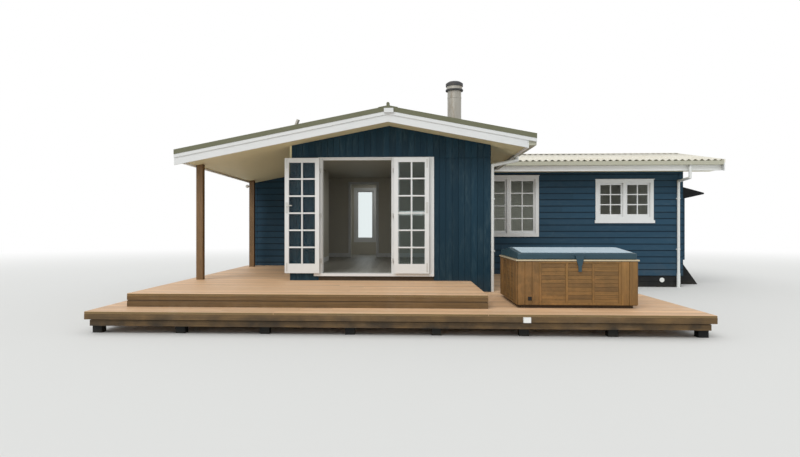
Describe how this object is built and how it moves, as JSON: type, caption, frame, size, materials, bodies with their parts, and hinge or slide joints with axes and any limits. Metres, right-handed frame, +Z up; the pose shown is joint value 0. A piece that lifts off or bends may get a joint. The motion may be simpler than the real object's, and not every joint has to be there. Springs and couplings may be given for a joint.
{
  "type": "beach house",
  "caption": "Low timber beach house: gabled front room with open French doors, side wing, post verandah, stepped deck and a boarded spa tub.",
  "frame": {"origin": "middle of the footprint on the ground", "axes": "+X to the right along the front, +Y from front to back, +Z up"},
  "size_m": [11.625, 11.288, 4.21],
  "materials": {
    "deck_boards": "oiled, weathered",
    "framing_timber": "rough sawn",
    "dark_timber": "painted near black",
    "navy_boards": "painted navy, satin",
    "wing_boards": "painted navy, weathered satin",
    "inside_lining": "painted, matt",
    "white_joinery": "painted, gloss",
    "door_hardware": "satin",
    "clear_glass": "clear",
    "olive_roofing": "factory painted, satin",
    "cream_roofing": "factory painted, weathered",
    "white_trim": "painted, gloss",
    "soffit_lining": "painted, matt",
    "gutter_metal": "factory painted",
    "post_timber": "oiled",
    "flue_metal": "weathered",
    "tub_timber": "oiled",
    "tub_shell": "moulded, gloss",
    "cover_vinyl": "vinyl, grained",
    "white_plastic": "moulded"
  },
  "bodies": {
    "house": {"lower_deck": "deck_boards", "upper_deck": "deck_boards", "deck_joists": "framing_timber", "deck_edges": "deck_boards", "piles": "dark_timber", "base_boards": "dark_timber", "floor": "framing_timber", "threshold_wall": "dark_timber", "front_wall": "navy_boards", "front_gable": "navy_boards", "room_side_walls": "navy_boards", "verandah_wall": "wing_boards", "left_end_wall": "wing_boards", "back_wall": "wing_boards", "wing_front_wall": "wing_boards", "wing_end_wall": "wing_boards", "partition": "inside_lining", "ceiling": "inside_lining", "door_frame": "white_joinery", "sidelight": "white_joinery", "frame_hinges": "door_hardware", "large_window": "white_joinery", "small_window": "white_joinery", "back_windows": "white_joinery", "window_glass": "clear_glass", "front_roof": "olive_roofing", "wing_roof": "cream_roofing", "ridge_caps": "cream_roofing", "barge_boards": "white_trim", "roof_edges": "olive_roofing", "eave_fascias": "white_trim", "verandah_ceiling": "soffit_lining", "soffits": "soffit_lining", "gutters": "gutter_metal", "downpipes": "gutter_metal", "posts": "post_timber", "flue": "flue_metal", "vent_pipe": "flue_metal", "side_door": "white_joinery", "porch_steps": "dark_timber", "porch_screen": "wing_boards", "porch_canopy": "dark_timber", "tub_cabinet": "tub_timber", "tub_shell": "tub_shell", "tub_cover": "cover_vinyl", "deck_socket": "white_plastic", "verandah_light": "white_plastic"},
    "left_leaf": {"left_door": "white_joinery", "left_door_glass": "clear_glass", "left_door_fittings": "door_hardware"},
    "right_leaf": {"right_door": "white_joinery", "right_door_glass": "clear_glass", "right_door_fittings": "door_hardware"}
  },
  "joints": [
    {"name": "left_door_hinge", "type": "hinge", "parent": "house", "child": "left_leaf", "pos_m": [-3.0735, -2.876, 1.615], "axis": [0, 0, 1], "range_deg": [0, 180]},
    {"name": "right_door_hinge", "type": "hinge", "parent": "house", "child": "right_leaf", "pos_m": [-1.8195, -2.876, 1.615], "axis": [0, 0, -1], "range_deg": [0, 180]}
  ]
}
